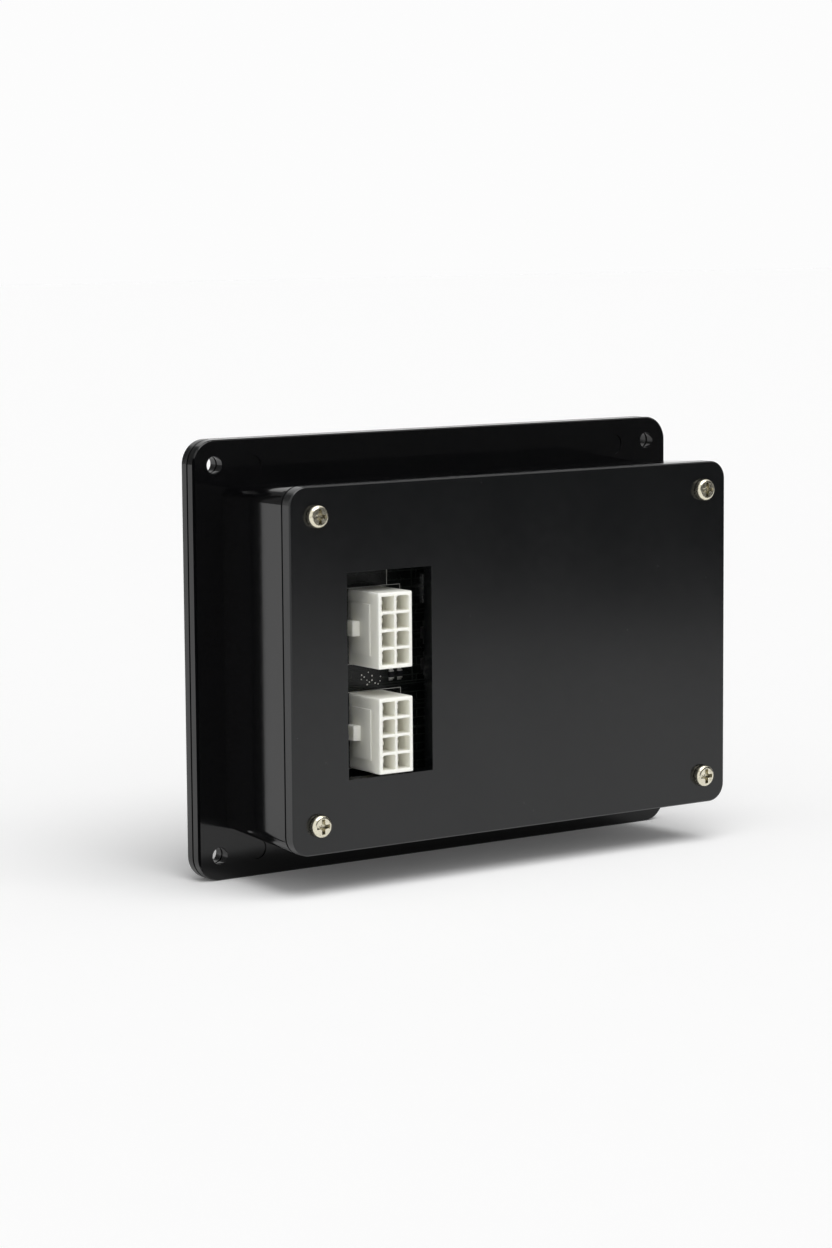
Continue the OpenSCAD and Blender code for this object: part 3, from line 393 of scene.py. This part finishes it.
def add_box(bm, low, high, edge):
    """Box from low to high with its edges broken."""
    low, high = Vector(low), Vector(high)
    size = Matrix.Diagonal((*(high - low), 1))
    made = bmesh.ops.create_cube(bm, size=1.0, matrix=Matrix.Translation((low + high) / 2) @ size)
    edges = {e for v in made["verts"] for e in v.link_edges}
    bmesh.ops.bevel(bm, geom=list(edges), offset=edge, segments=1, profile=0.5, affect="EDGES")


def add_prism(bm, points, y0, y1):
    """Closed prism over (x, z) points from y0 to y1."""
    ends = [[bm.verts.new((x, y, z)) for x, z in points] for y in (y0, y1)]
    n = len(points)
    bm.faces.new(ends[0])
    bm.faces.new(ends[1][::-1])
    for i in range(n):
        bm.faces.new((ends[0][i], ends[1][i], ends[1][(i + 1) % n], ends[0][(i + 1) % n]))


def add_line(bm, points, width, y0, y1):
    """Stroke along (x, z) points, mitred where it turns."""
    points = [Vector(p) for p in points]
    normals = [Vector((a.y - b.y, b.x - a.x)).normalized() for a, b in zip(points, points[1:])]
    turns = [(a + b) / (1 + a.dot(b)) for a, b in zip(normals, normals[1:])]
    sides = [side * width / 2 for side in (normals[0], *turns, normals[-1])]
    left = [p + side for p, side in zip(points, sides)]
    right = [p - side for p, side in zip(points, sides)]
    add_prism(bm, left + right[::-1], y0, y1)


def add_frame(bm, outer, inner, y0, y1):
    """Flat frame between two outlines of equally many (x, z) points."""
    rims = [[bm.verts.new((x, y, z)) for x, z in points]
            for points, y in ((outer, y0), (outer, y1), (inner, y1), (inner, y0))]
    for k in range(4):
        one, two = rims[k], rims[(k + 1) % 4]
        for i in range(len(outer)):
            j = (i + 1) % len(outer)
            bm.faces.new((one[i], one[j], two[j], two[i]))


def circle(centre, radius, count):
    turns = [2 * math.pi * i / count for i in range(count)]
    return [(centre[0] + radius * math.cos(a), centre[1] + radius * math.sin(a)) for a in turns]


def add_ring(bm, centre, outer, inner, y0, y1, count):
    add_frame(bm, circle(centre, outer, count), circle(centre, inner, count), y0, y1)


def round_rect(centre, width, height, radius):
    """Points of a rectangle with round corners, each in a few steps."""
    steps = 5
    points = []
    for k, (sx, sz) in enumerate(((1, 1), (-1, 1), (-1, -1), (1, -1))):
        for i in range(steps + 1):
            a = math.pi / 2 * (k + i / steps)
            points.append((centre[0] + sx * (width / 2 - radius) + radius * math.cos(a),
                           centre[1] + sz * (height / 2 - radius) + radius * math.sin(a)))
    return points


def middle_of(low, high):
    """The (x, z) point in the middle of a box."""
    return (low.x + high.x) / 2, (low.z + high.z) / 2


def node_box(node):
    low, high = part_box(node)
    return low * MM_IN_METRE, high * MM_IN_METRE


def islands(node):
    """Low and high corners of each separate solid of a CAD node."""
    mesh = NODES[node].data
    home = {}

    def find(k):
        while home[k] != k:
            home[k] = home[home[k]]
            k = home[k]
        return k

    spots = [tuple(round(c, 6) for c in v.co) for v in mesh.vertices]
    for spot in spots:
        home.setdefault(spot, spot)
    for polygon in mesh.polygons:
        ring = [find(spots[i]) for i in polygon.vertices]
        for other in ring[1:]:
            home[find(other)] = find(ring[0])
    groups = {}
    for spot in home:
        groups.setdefault(find(spot), []).append(spot)
    boxes = [(Vector(map(min, *g)) * MM_IN_METRE, Vector(map(max, *g)) * MM_IN_METRE)
             for g in groups.values()]
    return sorted(boxes, key=lambda box: tuple(box[0]))


# Moulded and turned parts with rounded edges

def rounded_parts():
    """Finished copies of the parts whose edges show. The housing and the cover meet at the seam."""
    seam = node_box("rear_housing")[1].y
    rounded_copy("rear_housing", 0.12, groove=seam)
    rounded_copy("rear_cover", 0.1, groove=seam)
    rounded_copy("front_bezel", 0.1)
    for node in ("upper_header", "lower_header"):
        rounded_copy(node, 0.08, rim=0.32)
    for i in range(1, 5):
        rounded_copy(f"cover_screw_{i}", 0.06)


# Small parts and prints on the main board

# How far a print or a tinned end stands above what carries it, and how far a print reaches into it
SKIN = 0.03
SUNK = 0.01
board_face = node_box("main_board")[1].y
lower, upper = [node_box(name) for name in ("lower_header", "upper_header")]


def board_silk():
    """White outlines round the headers and the line that runs up from them."""
    half_line = 0.07
    past_left, past_right, past_ends = 5.3, 0.5, 0.1
    run_out, run_above, run_length, run_width = 1.5, 0.2, 10.0, 0.16
    bm = bmesh.new()
    y0, y1 = board_face - SUNK, board_face + SKIN
    for low, high in (lower, upper):
        x0, x1 = low.x - past_left, high.x + past_right
        z0, z1 = low.z - past_ends, high.z + past_ends
        outer, inner = [[(x0 - d, z0 - d), (x1 + d, z0 - d), (x1 + d, z1 + d), (x0 - d, z1 + d)]
                        for d in (half_line, -half_line)]
        add_frame(bm, outer, inner, y0, y1)
    left, top = upper[0].x - run_out, upper[1].z + run_above
    add_line(bm, [(left, top), (left, top + run_length)], run_width, y0, y1)
    place("board_silk", bm, SILK)


def board_vias():
    """Small tinned holes in the board, scattered between the two headers."""
    count, apart, hole, narrow, wide = 13, 0.8, 0.06, 0.13, 0.2
    left, right = lower[0].x + 0.3, lower[1].x - 5.3
    bottom, top = lower[1].z + 1.4, upper[0].z - 1.6
    bm = bmesh.new()
    draw = random.Random(11)
    spots = []
    while len(spots) < count:
        spot = Vector((draw.uniform(left, right), draw.uniform(bottom, top)))
        if all((spot - other).length > apart for other in spots):
            spots.append(spot)
            add_ring(bm, spot, draw.uniform(narrow, wide), hole, board_face - SUNK, board_face + SKIN, 12)
    place("board_vias", bm, TIN)


def add_solder(bm, low, high, z, out):
    """Bead of solder against the end face z of the chip from low to high. out is 1 or -1, outwards."""
    reach, climb, foot_half, top_half = 0.5, 0.7, 0.46, 0.4
    middle, wide = (low.x + high.x) / 2, high.x - low.x
    base, foot, top = low.y - SUNK, z + out * reach, low.y + (high.y - low.y) * climb
    wedge = [bm.verts.new(v) for v in (
        (middle - wide * foot_half, base, z), (middle + wide * foot_half, base, z),
        (middle + wide * foot_half, base, foot), (middle - wide * foot_half, base, foot),
        (middle - wide * top_half, top, z), (middle + wide * top_half, top, z))]
    for ring in ((0, 1, 2, 3), (4, 5, 1, 0), (3, 2, 5, 4), (0, 3, 4), (1, 5, 2)):
        bm.faces.new([wedge[k] for k in (ring if out > 0 else ring[::-1])])


def chip_ends():
    """Tinned ends of the chip resistors and capacitors, with a bead of solder at each end."""
    length, edge = 0.36, 0.08
    bm = bmesh.new()
    for node in ("chip_resistors", "chip_capacitors"):
        for low, high in islands(node):
            for z, out in ((low.z, -1), (high.z, 1)):
                near, far = sorted((z - out * length, z + out * SKIN))
                add_box(bm, (low.x - SKIN, low.y, near), (high.x + SKIN, high.y + SKIN, far), edge)
                add_solder(bm, low, high, z, out)
    place("chip_ends", bm, TIN)


# The front: display cells and key prints

# How far a print on the keypad's film reaches into it, and how high the keys are embossed
INTO_FILM = 0.05
EMBOSS = 0.35
# Corners of a ring or disc that is seen close up
ROUND = 40


def lcd_cells():
    """Two lines of sixteen blank character cells, each five by seven dots, on the display's glass."""
    lines, columns, dots_across, dots_up = 2, 16, 5, 7
    dot, dot_x, dot_z, cell_x, cell_z = 0.5, 0.56, 0.6, 3.55, 5.95
    proud, thick = 0.02, 0.015
    face = node_box("lcd_glass")[0].y - proud
    middle = middle_of(*node_box("lcd_frame"))
    bm = bmesh.new()
    for line in range(lines):
        for column in range(columns):
            x = middle[0] + (column - (columns - 1) / 2) * cell_x
            z = middle[1] + (line - (lines - 1) / 2) * cell_z
            for i in range(dots_across):
                for j in range(dots_up):
                    cx, cz = x + (i - dots_across // 2) * dot_x, z + (j - dots_up // 2) * dot_z
                    corners = [bm.verts.new((cx + sx * dot / 2, face, cz + sz * dot / 2))
                               for sx, sz in ((-1, -1), (1, -1), (1, 1), (-1, 1))]
                    deep = [bm.verts.new(v.co + Vector((0, thick, 0))) for v in corners]
                    bm.faces.new(corners)
                    bm.faces.new(deep[::-1])
                    for k in range(4):
                        bm.faces.new((corners[k], deep[k], deep[(k + 1) % 4], corners[(k + 1) % 4]))
    place("lcd_cells", bm, SEGMENT)


def key_places():
    """The keys' columns and rows, from the snap domes under them. The first row is the lower one."""
    spots = [middle_of(low, high) for low, high in islands("snap_domes")]
    return sorted({round(x, 2) for x, _ in spots}), sorted({round(z, 2) for _, z in spots})


def key_faces(columns, rows, y0, y1):
    """Coloured key faces: the lower row starts with a green and a red one, and the rest are grey."""
    width, height, corner = 12.0, (rows[1] - rows[0]) * 0.535, 1.2
    inks = {"key_faces_grey": GREY_INK, "key_face_green": GREEN_INK, "key_face_red": RED_INK}
    coloured = {(0, 0): "key_face_green", (1, 0): "key_face_red"}
    for name, ink in inks.items():
        bm = bmesh.new()
        for i, x in enumerate(columns):
            for j, z in enumerate(rows):
                if coloured.get((i, j), "key_faces_grey") == name:
                    add_prism(bm, round_rect((x, z), width, height, corner), y0, y1)
        place(name, bm, ink)


def add_arrow(bm, x, z, turn, y0, y1):
    """Triangle that points the way that turn gives, where 0 is along +X."""
    radius = 2.3
    points = [(math.cos(turn + a) * radius, math.sin(turn + a) * radius)
              for a in (0, 2 * math.pi / 3, 4 * math.pi / 3)]
    add_prism(bm, [(x + px, z + pz) for px, pz in points], y0, y1)


def key_signs(columns, rows, y0, y1):
    """Plain signs: four arrows and a tick above, and a bar, a ring, two triangles, a square and a dot."""
    low, top = rows
    bm = bmesh.new()
    for x, turn in zip(columns, (math.pi, math.pi / 2, -math.pi / 2, 0.0)):
        add_arrow(bm, x, top, turn, y0, y1)
    x = columns[4]
    add_line(bm, [(x - 2.2, top + 0.3), (x - 0.6, top - 1.4), (x + 2.4, top + 2.0)], 0.7, y0, y1)
    add_line(bm, [(columns[0], low - 2.0), (columns[0], low + 2.0)], 0.9, y0, y1)
    add_ring(bm, (columns[1], low), 2.1, 1.4, y0, y1, ROUND)
    add_arrow(bm, columns[2] - 1.6, low, 0.0, y0, y1)
    add_arrow(bm, columns[2] + 2.0, low, 0.0, y0, y1)
    add_prism(bm, round_rect((columns[3], low), 3.6, 3.6, 0.4), y0, y1)
    add_prism(bm, circle((columns[4], low), 1.7, ROUND), y0, y1)
    place("key_signs", bm, PALE_INK)


def key_prints():
    """Printed faces on the embossed keys, and the signs that lie on them."""
    columns, rows = key_places()
    face = node_box("keypad_overlay")[0].y
    key_faces(columns, rows, face - SKIN / 2, face + INTO_FILM)
    key_signs(columns, rows, face - SKIN, face + INTO_FILM)


def overlay_lines():
    """Pale border round the display, and a ring and a dash at each light, printed on the overlay."""
    past_window, border_w, corner, proud = 1.2, 0.35, 2.0, 0.02
    ring, ring_inner, dash_from, dash_to, dash_w = 2.6, 2.25, 3.4, 6.4, 0.5
    low, high = node_box("display_window")
    face = node_box("keypad_overlay")[0].y + EMBOSS
    y0, y1 = face - proud, face + INTO_FILM
    bm = bmesh.new()
    width, height = high.x - low.x + past_window, high.z - low.z + past_window
    centre = middle_of(low, high)
    add_frame(bm, round_rect(centre, width, height, corner),
              round_rect(centre, width - 2 * border_w, height - 2 * border_w, corner - border_w), y0, y1)
    for x, z in (middle_of(*box) for box in islands("light_pipes")):
        add_ring(bm, (x, z), ring, ring_inner, y0, y1, ROUND)
        add_line(bm, [(x + dash_from, z), (x + dash_to, z)], dash_w, y0, y1)
    place("overlay_lines", bm, PALE_INK)


# Floor, cards, lights and camera, in metres

FLOOR_HALF = 6.0
# What the paper sends to the camera by itself, so that it meets the white behind it
FLOOR_LIFT = 0.05
# Dark cards: name, shade, place on the floor, turn in degrees, width, foot and top over the floor.
# The last is a narrow strip at the flange's side edge, as tall as the flange.
CARDS = (("card_near", 0.165, (-0.29, 0.42), 36.7, 2.0, 0.0, 0.6),
         ("card_far", 0.165, (0.38, -1.2), 17.0, 0.8, 0.075, 0.9),
         ("card_edge", 0.03, (0.07195, 0.0003), 0.0, 0.0027, 0.0, 0.1058))
# The room's light: towards its bright side, its dark and bright shades, and the white that is seen
BRIGHT_SIDE = (0.25, 0.97, 0.0)
ROOM_DARK, ROOM_BRIGHT, ROOM_SEEN = 0.1, 0.745, 0.975
# The softbox: towards it, its strength and its width as an angle
SOFTBOX_TOWARDS = (0.0, 0.42, 0.91)
SOFTBOX_ENERGY = 1.78
SOFTBOX_ANGLE = 52
# The photograph's camera: place, turns in degrees, and lens and sensor in millimetres
CAMERA_AT = (0.478669, 0.673682, 0.106216)
CAMERA_TURNS = (82.95662, 0.43508, 144.98574)
LENS, SENSOR = 96.54, 36


def seen_directly(t):
    """1 for camera, glossy and transmission rays, and 0 where the surface only lights others."""
    path = t.add("ShaderNodeLightPath")
    return t.maths("MAXIMUM", t.maths("MAXIMUM", path.outputs["Is Camera Ray"],
                                      path.outputs["Is Glossy Ray"]), path.outputs["Is Transmission Ray"])


def add_sheet(name, corners):
    """Flat four-cornered mesh."""
    mesh = bpy.data.meshes.new(name)
    mesh.from_pydata(corners, [], [(0, 1, 2, 3)])
    obj = bpy.data.objects.new(name, mesh)
    bpy.context.scene.collection.objects.link(obj)
    return obj


def floor():
    """Pale paper at the foot of the object, far out on every side."""
    low, far = cad_box[0][2], FLOOR_HALF
    sheet = add_sheet("floor", [(-far, -far, low), (far, -far, low), (far, far, low), (-far, far, low)])
    mat = bpy.data.materials.new("floor_paper")
    mat.use_nodes = True
    t = Tree(mat.node_tree)
    where = t.add("ShaderNodeTexCoord").outputs["Object"]
    paper = t.mixed(t.noise(where, 40.0), grey(0.98), grey(0.99))
    lift = t.maths("MULTIPLY", seen_directly(t), FLOOR_LIFT)
    shader = t.add("ShaderNodeBsdfPrincipled", Base_Color=paper, Roughness=0.9, Specular_IOR_Level=0.1,
                   Emission_Color=grey(1), Emission_Strength=lift)
    t.add("ShaderNodeOutputMaterial", Surface=shader)
    sheet.data.materials.append(mat)


def felt(name, shade):
    """Dull dark cloth, slightly uneven."""
    mat = bpy.data.materials.new(name)
    mat.use_nodes = True
    t = Tree(mat.node_tree)
    pile = t.noise(t.add("ShaderNodeTexCoord").outputs["Object"], 300.0)
    shader = t.add("ShaderNodeBsdfPrincipled", Roughness=0.95, Specular_IOR_Level=0.0,
                   Base_Color=t.mixed(pile, rgba(grey(shade), 0.9), rgba(grey(shade), 1.1)))
    t.add("ShaderNodeOutputMaterial", Surface=shader)
    return mat


def dark_cards():
    """Cards that are seen in gloss alone. They light and shade nothing else."""
    for name, shade, where, turn, width, foot, top in CARDS:
        half = width / 2
        card = add_sheet(name, [(-half, 0, foot), (half, 0, foot), (half, 0, top), (-half, 0, top)])
        card.location = (*where, cad_box[0][2])
        card.rotation_euler = (0, 0, math.radians(turn))
        card.data.materials.append(felt(name + "_felt", shade))
        card.visible_camera = card.visible_diffuse = False
        card.visible_shadow = card.visible_transmission = False


def room():
    """Soft light from the side that the camera is on. Seen directly, the room is white."""
    world = bpy.data.worlds.new("studio")
    bpy.context.scene.world = world
    world.use_nodes = True
    t = Tree(world.node_tree)
    side = t.add("ShaderNodeVectorMath", {"operation": "DOT_PRODUCT"}, _1=BRIGHT_SIDE,
                 _0=t.add("ShaderNodeTexCoord").outputs["Generated"]).outputs["Value"]
    wrap = t.mixed(t.ranged(side, -0.6, 0.6, 0.0, 1.0).outputs[0], grey(ROOM_DARK), grey(ROOM_BRIGHT))
    tone = t.mixed(seen_directly(t).outputs[0], wrap, grey(ROOM_SEEN))
    t.add("ShaderNodeOutputWorld", Surface=t.add("ShaderNodeBackground", Color=tone, Strength=1.0))


def softbox():
    sun = bpy.data.objects.new("softbox", bpy.data.lights.new("softbox", "SUN"))
    sun.data.energy = SOFTBOX_ENERGY
    sun.data.angle = math.radians(SOFTBOX_ANGLE)
    bpy.context.scene.collection.objects.link(sun)
    sun.rotation_euler = Vector(SOFTBOX_TOWARDS).to_track_quat("Z", "Y").to_euler()


def photo_camera():
    scene = bpy.context.scene
    camera = bpy.data.objects.new("camera", bpy.data.cameras.new("camera"))
    camera.data.lens = LENS
    camera.data.sensor_width = SENSOR
    camera.data.clip_start = 0.01
    camera.location = CAMERA_AT
    camera.rotation_euler = [math.radians(a) for a in CAMERA_TURNS]
    scene.collection.objects.link(camera)
    scene.camera = camera
    scene.view_settings.view_transform = "Standard"


rounded_parts()
board_silk()
board_vias()
chip_ends()
lcd_cells()
key_prints()
overlay_lines()
floor()
dark_cards()
room()
softbox()
photo_camera()
